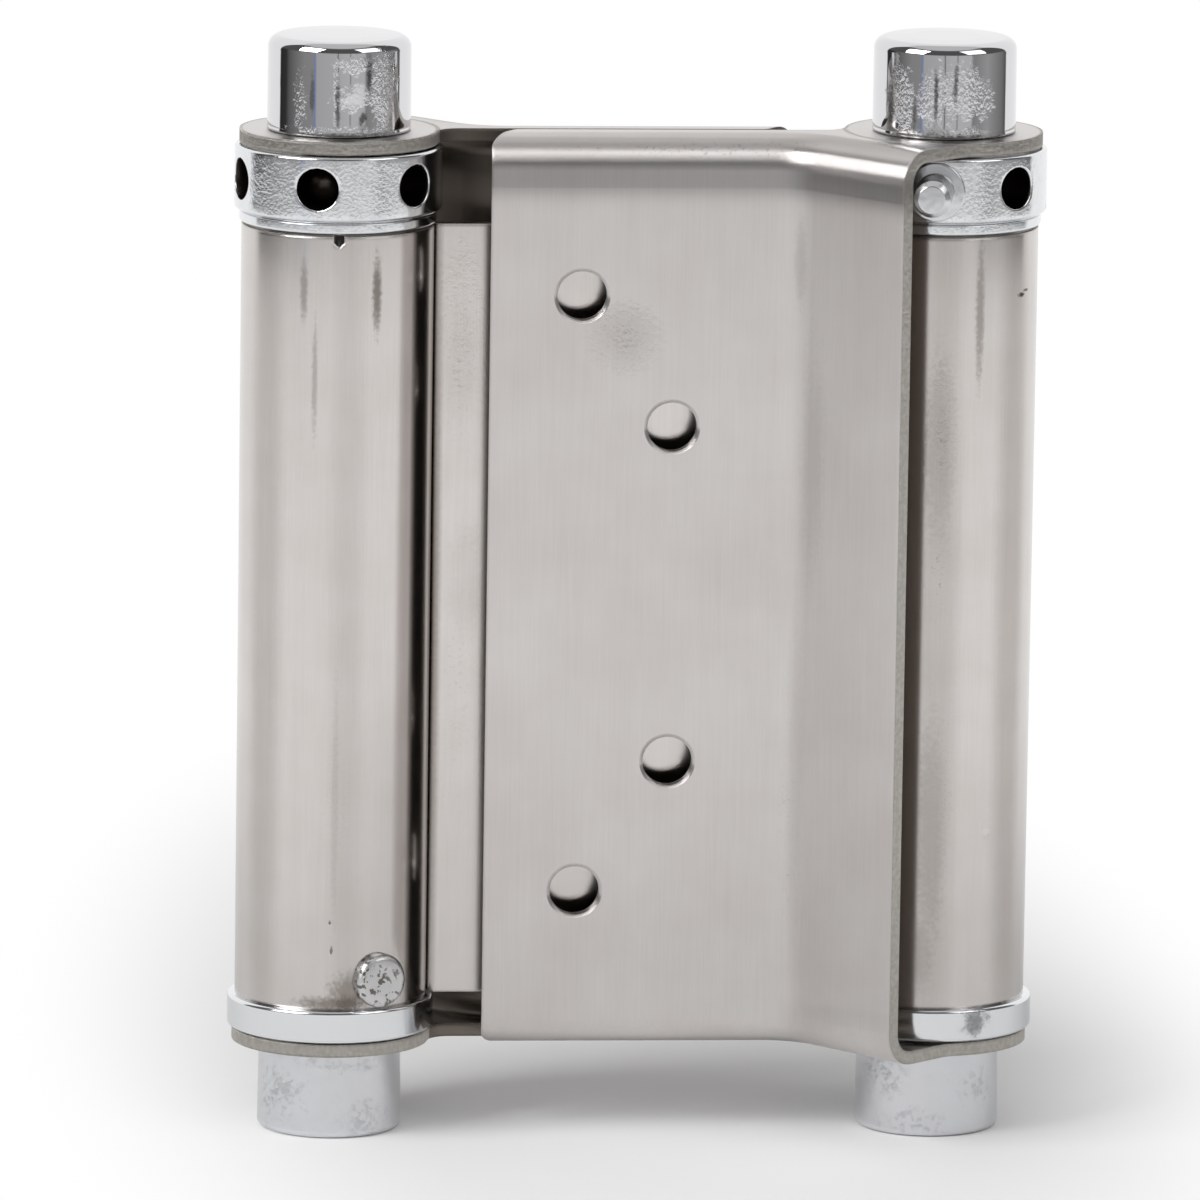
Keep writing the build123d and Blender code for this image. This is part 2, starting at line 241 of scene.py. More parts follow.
def brushedStainless(name, look, shape, turned=False):
    # Stainless sheet, brushed upright before it was bent: soft vertical lines, level highlights that spread
    # sideways, and darker torn edges where it was sheared
    material, tree = startMaterial(name)
    coordinates = addNode(tree, "ShaderNodeTexCoord").outputs
    flip = (-1, -1, 1) if turned else (1, 1, 1)       # the rear leaf is dressed as if it stood in front
    place, facing = (addNode(tree, "ShaderNodeVectorMath", {"operation": "MULTIPLY"}, {1: flip},
                             {0: coordinates[source]}).outputs[0] for source in ("Object", "Normal"))

    # patterns: grain and streaks are drawn out upright, the others are alike in all directions
    grain, streaks = (
        addNode(tree, "ShaderNodeTexNoise", values={"Scale": 1.0, "Detail": detail, "Roughness": 0.6},
                links={"Vector": addNode(
                    tree, "ShaderNodeMapping",
                    values={"Scale": (1 / (width * mm), 1 / (width * mm), 1 / (length * mm))},
                    links={"Vector": place}).outputs[0]}).outputs["Fac"]
        for width, length, detail in ((look["grainWidth"], look["grainLength"], 3.0),
                                      (look["streakWidth"], look["streakLength"], 4.0)))
    clouds, rough, torn = (
        addNode(tree, "ShaderNodeTexNoise",
                values={"Scale": 1 / (size * mm), "Detail": detail, "Roughness": roughness},
                links={"Vector": place}).outputs["Fac"]
        for size, detail, roughness in ((look["cloudSize"], 3.0, 0.5), (look["scuffSize"], 3.0, 0.65),
                                        (look["cutGrain"], 2.0, 0.55)))

    # marks of use, and the painted shades
    ragged = addNode(tree, "ShaderNodeMapRange",
                     values={"To Min": -look["raggedness"], "To Max": look["raggedness"]},
                     links={"Value": rough}).outputs[0]
    calm = addNode(tree, "ShaderNodeMath", {"operation": "MULTIPLY"}, {1: look["shadeRaggedness"]},
                   {0: ragged}).outputs[0]
    stainsAndShade, scuffs, nicks = (markMask(tree, place, look[kind], ragged) for kind in ("stainsAndShade", "scuffs", "nicks"))
    paintedShades = markMask(tree, place, look["paintedShades"], calm)
    low, high = look["speckLevels"]
    specks = addNode(tree, "ShaderNodeMapRange", values={"From Min": low, "From Max": high}, links={"Value": rough})
    speckled = addNode(tree, "ShaderNodeMath", {"operation": "MULTIPLY"},
                       links={0: specks.outputs[0], 1: scuffs})
    dirt = addNode(tree, "ShaderNodeMath", {"operation": "MULTIPLY_ADD"}, {1: look["speckShare"]},
                   {0: speckled.outputs[0], 2: nicks}).outputs[0]

    # cut edges: ends of the sheet that face sideways, and the rims of the ears
    cuts = []
    for way in shape["cutWays"]:
        toward = addNode(tree, "ShaderNodeVectorMath", {"operation": "DOT_PRODUCT"}, {1: way}, {0: facing})
        cuts.append(addNode(tree, "ShaderNodeMapRange",
                            values={"From Min": cutFacing[0], "From Max": cutFacing[1]},
                            links={"Value": toward.outputs["Value"]}).outputs[0])
    if shape["earRadius"]:
        fromAxis = addNode(tree, "ShaderNodeVectorMath", {"operation": "MULTIPLY_ADD"},
                           {1: (1, 1, 0), 2: (-axisSpacing / 2 * mm, 0, 0)}, {0: place})
        radius = addNode(tree, "ShaderNodeVectorMath", {"operation": "LENGTH"},
                         links={0: fromAxis.outputs[0]}).outputs["Value"]
        appears, whole, fades, gone = ((shape["earRadius"] + step) * mm for step in rimBand)
        outer = addNode(tree, "ShaderNodeMapRange", values={"From Min": appears, "From Max": whole},
                        links={"Value": radius})
        past = addNode(tree, "ShaderNodeMapRange",
                       values={"From Min": fades, "From Max": gone, "To Min": 1.0, "To Max": 0.0},
                       links={"Value": radius})
        cuts.append(addNode(tree, "ShaderNodeMath", {"operation": "MULTIPLY"},
                            links={0: outer.outputs[0], 1: past.outputs[0]}).outputs[0])
    cut = strongestOf(tree, cuts)
    # inward faces get a darker colour as painted shade, and the rougher mill finish
    back = addNode(tree, "ShaderNodeVectorMath", {"operation": "DOT_PRODUCT"}, {1: shape["insideWay"]}, {0: facing})
    inside = addNode(tree, "ShaderNodeMapRange",
                     values={"From Min": insideFacing[0], "From Max": insideFacing[1]},
                     links={"Value": back.outputs["Value"]}).outputs[0]

    # colour, from the brushing up to the dirt and the painted shade on it
    brushed, edges = (
        addNode(tree, "ShaderNodeMix", {"data_type": "RGBA"}, {6: toLinear(look[main]), 7: toLinear(look[other])},
                {0: addNode(tree, "ShaderNodeMapRange", values={"From Min": low, "From Max": high},
                            links={"Value": noise}).outputs[0]}).outputs[2]
        for main, other, noise, (low, high) in (("colour", "cloud", clouds, look["cloudLevels"]),
                                                ("cut", "tear", torn, look["tearLevels"])))
    # painted shades, stains, dirt and the inward faces' painted shade, laid one over the other
    wornAndShaded = layColours(tree, brushed, [(paintedShades, look["stainAndShade"]), (stainsAndShade, look["stainAndShade"]), (dirt, look["nick"]),
                                      (inside, look["inside"])])
    coloured = addNode(tree, "ShaderNodeMix", {"data_type": "RGBA"}, links={0: cut, 6: wornAndShaded, 7: edges})
    low, high = look["toneLevels"]
    streakTone, grainTone = (
        addNode(tree, "ShaderNodeMapRange",
                values={"From Min": low, "From Max": high, "To Min": darkest, "To Max": lightest},
                links={"Value": noise}).outputs[0]
        for noise, (darkest, lightest) in ((streaks, look["streakTones"]), (grain, look["grainTones"])))
    tone = addNode(tree, "ShaderNodeMath", {"operation": "MULTIPLY"}, links={0: streakTone, 1: grainTone})
    shaded = addNode(tree, "ShaderNodeVectorMath", {"operation": "SCALE"},
                     links={0: coloured.outputs[2], "Scale": tone.outputs[0]})

    dull = addNode(tree, "ShaderNodeMath", {"operation": "MULTIPLY_ADD"},
                   {1: look["stainDulling"], 2: look["roughness"]}, {0: stainsAndShade}).outputs[0]
    for mask in (inside, cut):
        dull = addNode(tree, "ShaderNodeMix", {"data_type": "FLOAT"}, {3: look["cutRoughness"]},
                       {0: mask, 2: dull}).outputs[0]

    # relief: brushing, scuffs, nicks, torn edges, rings round the screw holes and the bow of the flat
    layers = [(grain, look["grainDepth"])]
    for mask, noise, depth in ((scuffs, rough, look["scuffDepth"]), (nicks, nicks, -look["nickDepth"]),
                               (cut, torn, look["cutDepth"])):
        part = addNode(tree, "ShaderNodeMath", {"operation": "MULTIPLY"}, links={0: mask, 1: noise})
        layers.append((part.outputs[0], depth))
    for centre in look["holes"]:
        away = addNode(tree, "ShaderNodeVectorMath", {"operation": "DISTANCE"}, {1: [c * mm for c in centre]},
                       {0: place})
        inner = look["holeRadius"] * mm
        burr = addNode(tree, "ShaderNodeMapRange",
                       values={"From Min": inner, "From Max": inner + look["burrWidth"] * mm},
                       links={"Value": away.outputs["Value"]})
        layers.append((burr.outputs[0], look["burrSlope"] * look["burrWidth"]))
    if look["bowSlope"]:
        # the slope grows with the square of the way into the bow, so the height follows its cube
        middle = (shape["bottom"] + shape["top"]) / 2
        half = (shape["top"] - shape["bottom"]) / 2 - look["bendStart"]
        height = addNode(tree, "ShaderNodeSeparateXYZ", links={0: place}).outputs[2]
        level = addNode(tree, "ShaderNodeMath", {"operation": "MULTIPLY_ADD"}, {1: 1 / mm, 2: -middle},
                        {0: height})
        fromMiddle = addNode(tree, "ShaderNodeMath", {"operation": "ABSOLUTE"},
                             links={0: level.outputs[0]}).outputs[0]
        bow, beyond, lean = (
            addNode(tree, "ShaderNodeMapRange", values={"From Min": start, "From Max": end},
                    links={"Value": fromMiddle}).outputs[0]
            for start, end in ((half - look["bowStart"], half), (half, half + look["bowEnd"]),
                               (0.0, half - look["dishEnd"])))
        cubed = addNode(tree, "ShaderNodeMath", {"operation": "POWER"}, {1: 3.0}, {0: bow})
        # past the bend the slope dies away evenly: x - x * x / 2
        eased, leanSquare = (
            addNode(tree, "ShaderNodeMath", {"operation": "MULTIPLY"}, links={0: share, 1: share}).outputs[0]
            for share in (beyond, lean))
        run = addNode(tree, "ShaderNodeMath", {"operation": "MULTIPLY_ADD"}, {1: -0.5}, {0: eased, 2: beyond})
        layers += [(cubed.outputs[0], -look["bowSlope"] * look["bowStart"] / 3),
                   (run.outputs[0], -look["bowSlope"] * look["bowEnd"]),
                   (leanSquare, look["dish"] * half / 2)]
    corner = addNode(tree, "ShaderNodeBevel", {"samples": 4}, {"Radius": look["edgeRound"] * mm})
    bump = addNode(tree, "ShaderNodeBump", values={"Strength": 1.0, "Distance": mm},
                   links={"Height": stackRelief(tree, layers), "Normal": corner.outputs[0]})
    upright = addNode(tree, "ShaderNodeCombineXYZ", values=dict(enumerate(brushedWay)))
    steel = addNode(tree, "ShaderNodeBsdfPrincipled",
                    values={"Metallic": 1.0, "Anisotropic": look["stretch"], "Anisotropic Rotation": quarterTurn},
                    links={"Base Color": shaded.outputs[0], "Roughness": dull, "Normal": bump.outputs[0],
                           "Tangent": upright.outputs[0]})
    addNode(tree, "ShaderNodeOutputMaterial", links={0: steel.outputs[0]})
    return material


leafShape = {
    "cutWays": [(-1, 0, 0), (1, 0, 0), (0.669, -0.743, 0)],       # the last one is the slanted strip's free edge
    "insideWay": (0, 1, 0), "earRadius": 10.7, "bottom": 9.7, "top": 109.7,
}
webShape = {"cutWays": [(0, 0, 1), (0, 0, -1)], "insideWay": (0, 0, 0), "earRadius": 0}

capChrome = {
    "colour": "#DADADC", "patch": "#D4D4D6", "roughness": 0.03, "patchRoughness": 0.16,
    "pitSize": 0.24,             # mm, blisters and pits in the plating
    "pitStretch": 0.5,           # below 1 draws the pits out upward
    "pitDepth": 0.035,           # mm
    "outlineSize": 1.1,          # mm, ragged outline of the patches with pits
    "skinSize": 2.2,             # mm, long soft waves
    "skinDepth": 0.009,          # mm
    "pitShare": (0.2, 0.8),      # pits stand apart between these levels of the noise
    "raggedness": 1.3,           # how far the outlines of patches wander, as a share of their reach
    "scar": "#F2F2F4", "scarRoughness": 0.5,       # where the plating was rubbed matt
    "scars": [((-31.6, -7.8, 113.9), (1.5, 2, 0.8), 1.0), ((-30.8, -7.6, 114.4), (0.9, 2, 1.3), 0.9)],
    "grimeAndShade": "#3B3836",          # dirt that has run down from the rim, and painted shade round the base where the cap sits on the ear
    "grimesAndShade": [((-33.3, -7.8, 113.4), (0.35, 1, 3.4), 0.75), ((-29.9, -7.3, 116.4), (0.4, 1, 2.4), 0.75),
               ((-30.6, -7.5, 111.6), (0.5, 1, 1.6), 0.8), ((-36.0, -7.1, 114.2), (0.3, 1, 2.6), 0.5),
               # these two thin rings are painted shade round the caps' seats
               ((-32.7, -7.9, 109.9), (7.2, 4, 0.42), 0.7), ((32.7, -7.9, 109.9), (7.2, 4, 0.42), 0.7),
               ((31.0, -7.7, 114.2), (0.35, 1, 3.6), 0.8), ((33.1, -7.8, 115.6), (0.35, 1, 2.8), 0.75),
               ((26.4, -5.0, 113.6), (0.5, 2, 3.6), 0.7), ((28.8, -6.7, 112.4), (0.3, 1, 2.2), 0.5)],
    "patches": [((-31.8, -7.8, 114.0), (1.9, 2, 1.5), 1.0), ((-28.4, -6.4, 115), (1.6, 2, 4), 1.0),
                ((-32.7, -7.8, 110.3), (7, 3, 0.7), 0.9), ((32.7, -7.8, 110.3), (7, 3, 0.7), 0.9),
                ((-31.5, -7.8, 117.6), (2.2, 2, 1.0), 0.9), ((-33.5, -7.8, 115), (0.3, 1, 4.5), 0.8),
                ((-37.3, -6.4, 113.5), (0.9, 1, 4.0), 0.5),
                ((27.4, -5.8, 114), (1.5, 2, 3.4), 1.0), ((31.4, -7.7, 114.8), (0.35, 1, 4.6), 0.9),
                ((30.2, -7.5, 114), (1.4, 2, 3.0), 0.6), ((34.0, -7.7, 115), (2.6, 2, 3.0), 1.0),
                ((36.2, -7.0, 114), (1.4, 2, 2.2), 0.8)],
}
collarZinc = dict(
    capChrome, colour="#E4E6E8", patch="#D6D7DA", roughness=0.13, patchRoughness=0.2, pitSize=0.36, pitStretch=1.0,
    pitDepth=0.011, skinDepth=0.01, pitShare=(0.35, 0.65),
    patches=[((-41.7, -6.7, 104.5), (1.8, 3, 2.6), 1.0), ((-29.0, -10.6, 104.6), (2.2, 3, 3.0), 1.0),
             ((-34.5, -11, 104.6), (16, 12, 6), 0.5), ((34.5, -11, 104.6), (16, 12, 6), 0.5),
             ((36.8, -10.4, 13.4), (2.0, 2, 2.2), 1.0), ((35.4, -10.9, 104.3), (2.0, 3, 3), 0.8)],
    # the first mark is dirt on the ring; the second is painted shade, a dark line under the left collar's lip
    grimesAndShade=[((36.9, -10.4, 13.6), (1.6, 2, 1.9), 0.6), ((-32.7, -11, 98.8), (11, 4, 0.35), 0.4)])
footZinc = dict(
    capChrome, colour="#E0E1E4", patch="#C2C4C7", roughness=0.32, patchRoughness=0.4, pitSize=0.7, pitStretch=1.0,
    pitDepth=0.04, skinSize=1.6, skinDepth=0.07, pitShare=(0.42, 0.66), outlineSize=2.2,
    patches=[((-38.5, -5, 4.5), (3.0, 5, 3.4), 0.8), ((-29, -6, 2), (3.0, 5, 2.6), 0.6),
             ((-32, -7, 8.4), (5, 5, 1.4), 0.6), ((27.5, -6, 6.5), (3.2, 5, 2.8), 0.8),
             ((31, -7, 1.6), (4.2, 5, 1.8), 0.7), ((37.5, -6, 5.4), (2.8, 5, 2.4), 0.6)])
rivetZinc = dict(footZinc, colour="#D2D2D2", patch="#77726C", roughness=0.26, pitSize=0.6, pitDepth=0.04,
                 pitShare=(0.55, 0.62), patches=[((-28.5, -11, 18), (5, 5, 5), 1.0)])
pinZinc = dict(footZinc, colour="#D8D9DB", patch="#C2C3C5", roughness=0.24, patchRoughness=0.3, pitDepth=0.01)


def brightPlating(name, look):
    # Plated turned or cast metal: clear reflections, broken where the surface is pitted, dirty or rubbed, and
    # darkened at some seams with painted shade
    material, tree = startMaterial(name)
    place = addNode(tree, "ShaderNodeTexCoord").outputs["Object"]
    pitPlace = addNode(tree, "ShaderNodeMapping", values={"Scale": (1, 1, look["pitStretch"])},
                       links={"Vector": place}).outputs[0]
    pits, skin, outlines = (
        addNode(tree, "ShaderNodeTexNoise",
                values={"Scale": 1 / (size * mm), "Detail": detail, "Roughness": roughness},
                links={"Vector": source}).outputs["Fac"]
        for size, detail, roughness, source in ((look["pitSize"], 1.5, 0.5, pitPlace),
                                                (look["skinSize"], 1.0, 0.5, place),
                                                (look["outlineSize"], 4.0, 0.7, place)))
    ragged = addNode(tree, "ShaderNodeMapRange",
                     values={"To Min": -look["raggedness"], "To Max": look["raggedness"]},
                     links={"Value": outlines}).outputs[0]
    patches, grimeAndShade, scars = (markMask(tree, place, look[kind], ragged) for kind in ("patches", "grimesAndShade", "scars"))
    low, high = look["pitShare"]
    blister = addNode(tree, "ShaderNodeMapRange", {"interpolation_type": "SMOOTHSTEP"},
                      {"From Min": low, "From Max": high}, {"Value": pits}).outputs[0]
    pitted = addNode(tree, "ShaderNodeMath", {"operation": "MULTIPLY"}, links={0: blister, 1: patches}).outputs[0]
    relief = stackRelief(tree, [(skin, look["skinDepth"]), (pitted, look["pitDepth"])])
    bump = addNode(tree, "ShaderNodeBump", values={"Strength": 1.0, "Distance": mm}, links={"Height": relief})
    metal = addNode(tree, "ShaderNodeMix", {"data_type": "RGBA"},
                    {6: toLinear(look["colour"]), 7: toLinear(look["patch"])}, {0: pitted})
    # dirt and painted shade, then rubbed spots
    colour = layColours(tree, metal.outputs[2], [(grimeAndShade, look["grimeAndShade"]), (scars, look["scar"])])
    dullness = addNode(tree, "ShaderNodeMapRange",
                       values={"To Min": look["roughness"], "To Max": look["patchRoughness"]},
                       links={"Value": patches})
    rubbed = addNode(tree, "ShaderNodeMix", {"data_type": "FLOAT"}, {3: look["scarRoughness"]},
                     {0: scars, 2: dullness.outputs[0]})
    plating = addNode(tree, "ShaderNodeBsdfPrincipled", values={"Metallic": 1.0},
                      links={"Base Color": colour, "Roughness": rubbed.outputs[0], "Normal": bump.outputs[0]})
    addNode(tree, "ShaderNodeOutputMaterial", links={0: plating.outputs[0]})
    return material


frontSheet = brushedStainless("brushedStainlessFrontLeaf", leafSteel, leafShape)
rearSheet = brushedStainless("brushedStainlessRearLeaf", leafSteel, leafShape, turned=True)
rolledSheet = brushedStainless("brushedStainlessRolled", barrelSteel, webShape)
capPlating = brightPlating("polishedChromeCap", capChrome)
collarPlating = brightPlating("brightZincCollar", collarZinc)
footPlating = brightPlating("dullZincFoot", footZinc)
rivetPlating = brightPlating("pittedZincRivet", rivetZinc)
pinPlating = brightPlating("satinZincPin", pinZinc)
# walls deep in the collar's holes: oily unplated metal, made darker as painted shade
oilyShadedBore = brightPlating("oilyDrilledShadedBore", dict(collarZinc, colour="#4B4641", patch="#5A544E", roughness=0.35))
innerSteel = brightPlating("turnedSteelSpindle", dict(collarZinc, colour="#A8A8A8"))
springWire = brightPlating("oiledSpringWire", dict(collarZinc, colour="#5A5A5C", patch="#48484A", roughness=0.3))
print("stage: materials made")


# Mesh helpers: rings of points round a barrel axis, in mm

def roundCorners(corners, steps):              # corners are (radius, height, rounding)
    outline = []
    for index, (radius, height, rounding) in enumerate(corners):
        here = Vector((radius, height))
        if not rounding or index in (0, len(corners) - 1):
            outline.append(here)
            continue
        before = (Vector(corners[index - 1][:2]) - here).normalized()
        after = (Vector(corners[index + 1][:2]) - here).normalized()
        half = before.angle(after) / 2
        centre = here + (before + after).normalized() * (rounding / math.sin(half))
        start = here + before * (rounding / math.tan(half)) - centre
        end = here + after * (rounding / math.tan(half)) - centre
        for step in range(steps + 1):
            share = step / steps
            arm = (start * (1 - share) + end * share).normalized() * rounding
            outline.append(centre + arm)
    return outline


def addRing(mesh, angles, radius, height):
    return [mesh.verts.new((radius * math.sin(a), -radius * math.cos(a), height)) for a in angles]


def joinRings(mesh, lower, upper, slot=0):
    for i in range(len(lower)):
        j = (i + 1) % len(lower)
        mesh.faces.new((lower[i], lower[j], upper[j], upper[i])).material_index = slot


def makeObject(mesh, name, materials):
    data = bpy.data.meshes.new(name)
    mesh.to_mesh(data)
    mesh.free()
    for material in materials:
        data.materials.append(material)
    made = bpy.data.objects.new(name, data)
    bpy.context.scene.collection.objects.link(made)
    return made


def finishPiece(mesh, name, materials, body, node, place):
    mesh.transform(Matrix.Scale(mm, 4) @ place)
    bmesh.ops.recalc_face_normals(mesh, faces=mesh.faces)
    piece = makeObject(mesh, name, materials)
    for face in piece.data.polygons:
        face.use_smooth = True
    evenNormals = piece.modifiers.new("evenNormals", "WEIGHTED_NORMAL")
    evenNormals.keep_sharp = True
    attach(piece, body)
    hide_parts(node)


def turnPiece(name, corners, fineness, material, body, node, place):       # corners start and end on the axis
    arcSteps, segments = fineness
    mesh = bmesh.new()
    angles = [2 * math.pi * i / segments for i in range(segments)]
    rings = [addRing(mesh, angles, point.x, point.y) for point in roundCorners(corners, arcSteps)[1:-1]]
    for lower, upper in zip(rings, rings[1:]):
        joinRings(mesh, lower, upper)
    mesh.faces.new(rings[0])
    mesh.faces.new(list(reversed(rings[-1])))
    finishPiece(mesh, name, [material], body, node, place)


# Sizes of every piece are in mm, and its fineness is (steps in a rounding, segments round)

# Caps on the spindles' ends

topCap = {
    "topRadius": 7.72, "baseRadius": 7.85, "height": 10.3, "rim": 1.3, "domeRise": 0.1, "domeRound": 3.0,
    "crownFlat": 0.5, "flare": 0.1, "flareHeight": 0.5, "flareRound": 0.3, "baseRim": 0.25,
    "bore": 4.02, "boreDepth": 7.02, "fineness": (8, 128),
}
footCap = dict(topCap, topRadius=7.85, baseRadius=7.7, height=9.7, rim=0.8, flare=0.0, domeRise=0.0)


def makeCap(name, look, material, body, node, place):
    base, top = look["baseRadius"], look["height"]
    turnPiece(name, [
        (0, look["boreDepth"], 0), (look["bore"], look["boreDepth"], 0), (look["bore"], 0, 0),
        (base, 0, look["baseRim"]), (base - look["flare"], look["flareHeight"], look["flareRound"]),
        (look["topRadius"], top - look["domeRise"], look["rim"]),
        (look["topRadius"] / 2, top, look["domeRound"]), (look["crownFlat"], top, 0), (0, top, 0),
    ], look["fineness"], material, body, node, place)


leafBodies = {"right": "front_leaf", "left": "rear_leaf"}
capSeat = 100.0              # mm from the foot of a barrel to the seat of its top cap
for side, place in barrelPlaces.items():
    upper = place @ Matrix.Translation((0, 0, capSeat))
    lower = place @ Matrix.Rotation(math.pi, 4, "X")
    makeCap(side + "TopCap", topCap, capPlating, leafBodies[side], side + "_top_cap", upper)
    makeCap(side + "BottomCap", footCap, footPlating, leafBodies[side], side + "_bottom_cap", lower)
print("stage: caps made")


# Spring plug: ring under the barrel and spigot inside it

springPlug = {
    "ringRadius": 11.2, "ringBottom": 1.6, "ringTop": 5.15, "ringEdge": 0.4, "spigotRadius": 8.98,
    "spigotTop": 16.15, "bore": 4.06, "boreTop": 14.65, "fineness": (6, 160),
}


def makePlug(name, look, body, node, place):
    ring, spigot, edge = look["ringRadius"], look["spigotRadius"], look["ringEdge"]
    turnPiece(name, [
        (0, look["boreTop"], 0), (look["bore"], look["boreTop"], 0), (look["bore"], look["ringBottom"], 0),
        (ring, look["ringBottom"], edge), (ring, look["ringTop"], edge),
        (spigot, look["ringTop"], 0), (spigot, look["spigotTop"], 0), (0, look["spigotTop"], 0),
    ], look["fineness"], collarPlating, body, node, place)


for side, place in barrelPlaces.items():
    makePlug(side + "SpringPlug", springPlug, "centre", side + "_spring_plug", place)
print("stage: spring plugs made")


# Tension collar: band with six holes, lip below it and skirt inside the barrel

tensionCollar = {
    "radius": 11.2, "top": 98.4, "bandBottom": 91.45, "edge": 0.35, "groove": 10.1, "grooveHeight": 0.3,
    "lip": 10.65, "lipTopEdge": 0.15, "lipBottom": 90.05, "lipEdge": 0.3,
    "skirt": 8.94, "skirtBottom": 82.05, "bore": 4.06,
    "hole": 2.25, "holeDepth": 4.2, "drillPoint": 1.0, "holeRim": 0.2,
    "rimProfile": ((0.6, 0.03), (0.25, 0.09), (0, 0.2), (0, 1.0)),     # (share of the rim left, depth) of each ring
    "boreFrom": 0.1,             # deeper rings have the bore's dark finish, partly painted shade
    "panelSteps": 10,            # faces along each side of the panel that holds a hole
    "panelRings": (0.7, 0.45, 0.22, 0.08, 0.0),        # shares of the way from the hole's rim to the panel's border
    "arcSteps": 6,
    # degrees round the barrel from the viewer's side; the first hole has the stop pin in it
    "holes": {"right": (-9.7316, 40.3, 100.3, 160.3, 220.3, 280.3), "left": (-9.7316, 45, 105, 165, 225, 285)},
}


def makeCollar(name, look, angles, body, node, place):
    mesh = bmesh.new()
    radius, steps, edge = look["radius"], look["panelSteps"], look["edge"]
    low, high = look["bandBottom"] + edge, look["top"] - edge
    level = (look["bandBottom"] + look["top"]) / 2

    # the band has one panel for each hole, and its side borders are shared with its neighbours
    centres = sorted(math.radians(a % 360) for a in angles)
    following = centres[1:] + [centres[0] + 2 * math.pi]
    borders = [(here + after) / 2 for here, after in zip(centres, following)]
    sideRows = [[mesh.verts.new((radius * math.sin(b), -radius * math.cos(b), low + (high - low) * k / steps))
                 for k in range(steps + 1)] for b in borders]
    bottomRing, topRing, ringAngles = [], [], []
    for i, centre in enumerate(centres):
        left = borders[i - 1] - (2 * math.pi if i == 0 else 0)
        right = borders[i]
        spread = [left + (right - left) * k / steps for k in range(steps + 1)]
        bottom = [sideRows[i - 1][0]] + addRing(mesh, spread[1:-1], radius, low) + [sideRows[i][0]]
        top = [sideRows[i - 1][-1]] + addRing(mesh, spread[1:-1], radius, high) + [sideRows[i][-1]]
        bottomRing += bottom[:-1]
        topRing += top[:-1]
        ringAngles += spread[:-1]

        # once round the panel's border: its points, their angles and heights, and their ways from the hole
        lastRing = bottom[:-1] + sideRows[i][:-1] + top[:0:-1] + sideRows[i - 1][:0:-1]
        places = ([(a, low) for a in spread[:-1]] + [(right, v.co.z) for v in sideRows[i][:-1]]
                  + [(a, high) for a in spread[:0:-1]] + [(left, v.co.z) for v in sideRows[i - 1][:0:-1]])
        ways = [Vector(((a - centre) * radius, z - level)).normalized() for a, z in places]

        for share in look["panelRings"]:
            ring = []
            for (angle, height), way in zip(places, ways):
                arm = way * (look["hole"] + look["holeRim"])
                holeAngle = centre + math.asin(arm.x / radius)
                a = holeAngle + (angle - holeAngle) * share
                z = level + arm.y + (height - level - arm.y) * share
                ring.append(mesh.verts.new((radius * math.sin(a), -radius * math.cos(a), z)))
            joinRings(mesh, lastRing, ring)
            lastRing = ring

        # down the hole: the rings follow the band's curve, only the one at the bottom is flat
        outward = Vector((math.sin(centre), -math.cos(centre), 0))
        sideways = Vector((math.cos(centre), math.sin(centre), 0))
        for rimLeft, depth in look["rimProfile"] + ((0, look["holeDepth"]),):
            ring = []
            for way in ways:
                arm = way * (look["hole"] + look["holeRim"] * rimLeft)
                surface = radius if depth == look["holeDepth"] else math.sqrt(radius ** 2 - arm.x ** 2)
                point = outward * (surface - depth) + sideways * arm.x
                ring.append(mesh.verts.new((point.x, point.y, level + arm.y)))
            joinRings(mesh, lastRing, ring, 1 if depth > look["boreFrom"] else 0)
            lastRing = ring
        tip = outward * (radius - look["holeDepth"] - look["drillPoint"])
        tipPoint = mesh.verts.new((tip.x, tip.y, level))
        for here, after in zip(lastRing, lastRing[1:] + lastRing[:1]):
            mesh.faces.new((here, after, tipPoint)).material_index = 1

    # above and below the band; each outline's first two points are left out, as the band's own rings stand there
    lipTop = look["bandBottom"] - look["grooveHeight"]
    upper = [(radius, high - 1, 0), (radius, look["top"], edge), (look["bore"], look["top"], 0)]
    lower = [
        (radius, low + 1, 0), (radius, look["bandBottom"], edge), (look["groove"], look["bandBottom"], 0),
        (look["groove"], lipTop, 0), (look["lip"], lipTop, look["lipTopEdge"]),
        (look["lip"], look["lipBottom"], look["lipEdge"]), (look["skirt"], look["lipBottom"], 0),
        (look["skirt"], look["skirtBottom"], 0), (look["bore"], look["skirtBottom"], 0),
    ]
    boreRings = []
    for ring, corners in ((topRing, upper), (bottomRing, lower)):
        for point in roundCorners(corners, look["arcSteps"])[2:]:
            nextRing = addRing(mesh, ringAngles, point.x, point.y)
            joinRings(mesh, ring, nextRing)
            ring = nextRing
        boreRings.append(ring)
    joinRings(mesh, *boreRings)
    finishPiece(mesh, name, [collarPlating, oilyShadedBore], body, node, place)


for side, place in barrelPlaces.items():
    makeCollar(side + "TensionCollar", tensionCollar, tensionCollar["holes"][side], side + "_collar",
               side + "_tension_collar", place)
print("stage: tension collars made")


# Rivet in the plug and stop pin in the collar: turned along a spoke of the barrel

